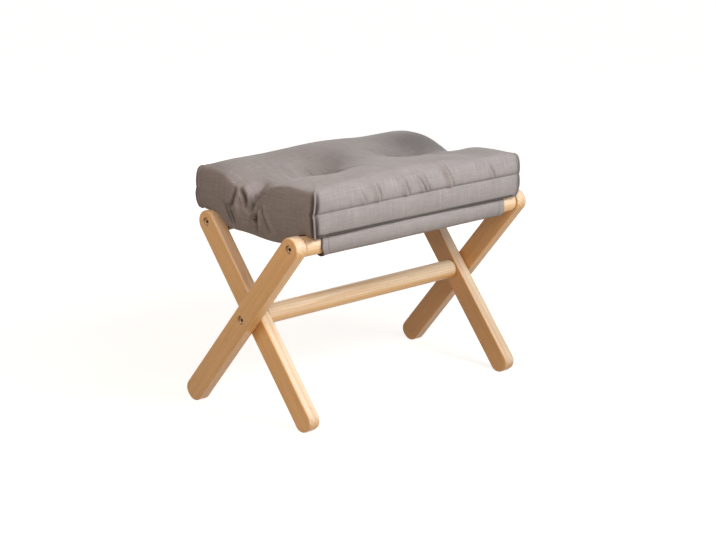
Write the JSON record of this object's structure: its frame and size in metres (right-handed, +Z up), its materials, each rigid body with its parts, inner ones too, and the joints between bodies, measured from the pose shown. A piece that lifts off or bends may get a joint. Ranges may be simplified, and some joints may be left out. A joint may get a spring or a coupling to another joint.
{
  "type": "folding footstool",
  "caption": "Folding footstool: crossed wooden legs on a shared pivot, round rails, a cloth sling and a tufted box cushion.",
  "frame": {"origin": "on the floor, below the middle of the stool, half way along the rails and half way between the feet", "axes": "+X along the rails toward the right end, +Y toward the back, +Z up"},
  "size_m": [0.5, 0.2622, 0.3704],
  "materials": {
    "beech": "clear satin varnish",
    "bolt_bronze": "bronze-coloured plating",
    "insert_steel": "zinc plating",
    "washer_nylon": "natural nylon",
    "sling_cloth": "plain weave, warm grey",
    "cushion_cloth": "plain weave, warm grey",
    "filling": "polyester wadding",
    "thread": "twisted thread"
  },
  "bodies": {
    "outer_frame": {"outer_leg_left": "beech", "outer_leg_right": "beech", "front_rail": "beech", "front_rail_bolt_left": "bolt_bronze", "front_rail_bolt_right": "bolt_bronze", "front_rail_insert_left": "insert_steel", "front_rail_insert_right": "insert_steel", "sling_front_sleeve": "sling_cloth", "sling_panel": "sling_cloth"},
    "inner_frame": {"inner_leg_left": "beech", "inner_leg_right": "beech", "rear_rail": "beech", "stretcher": "beech", "rear_rail_bolt_left": "bolt_bronze", "rear_rail_bolt_right": "bolt_bronze", "pivot_bolt_left": "bolt_bronze", "pivot_bolt_right": "bolt_bronze", "rear_rail_insert_left": "insert_steel", "rear_rail_insert_right": "insert_steel", "stretcher_insert_left": "insert_steel", "stretcher_insert_right": "insert_steel", "pivot_washer_left": "washer_nylon", "pivot_washer_right": "washer_nylon", "sling_rear_sleeve": "sling_cloth"},
    "cushion": {"cushion_top_cover": "cushion_cloth", "cushion_base_cover": "cushion_cloth", "cushion_filling": "filling", "cushion_tuft_ties": "thread", "cushion_corner_seams": "cushion_cloth"}
  },
  "joints": [
    {"name": "frame_fold", "type": "hinge", "parent": "outer_frame", "child": "inner_frame", "pos_m": [0, 0, 0.15217], "axis": [1, 0, 0], "range_deg": [0, 65], "deforming": ["sling_panel"]},
    {"name": "cushion_on_rails", "type": "hinge", "parent": "outer_frame", "child": "cushion", "pos_m": [0, -0.10549, 0.2806], "axis": [1, 0, 0], "range_deg": [0, 32.5]}
  ],
  "couplings": [
    {"joint": "cushion_on_rails", "follows": "frame_fold", "ratio": 0.5}
  ]
}
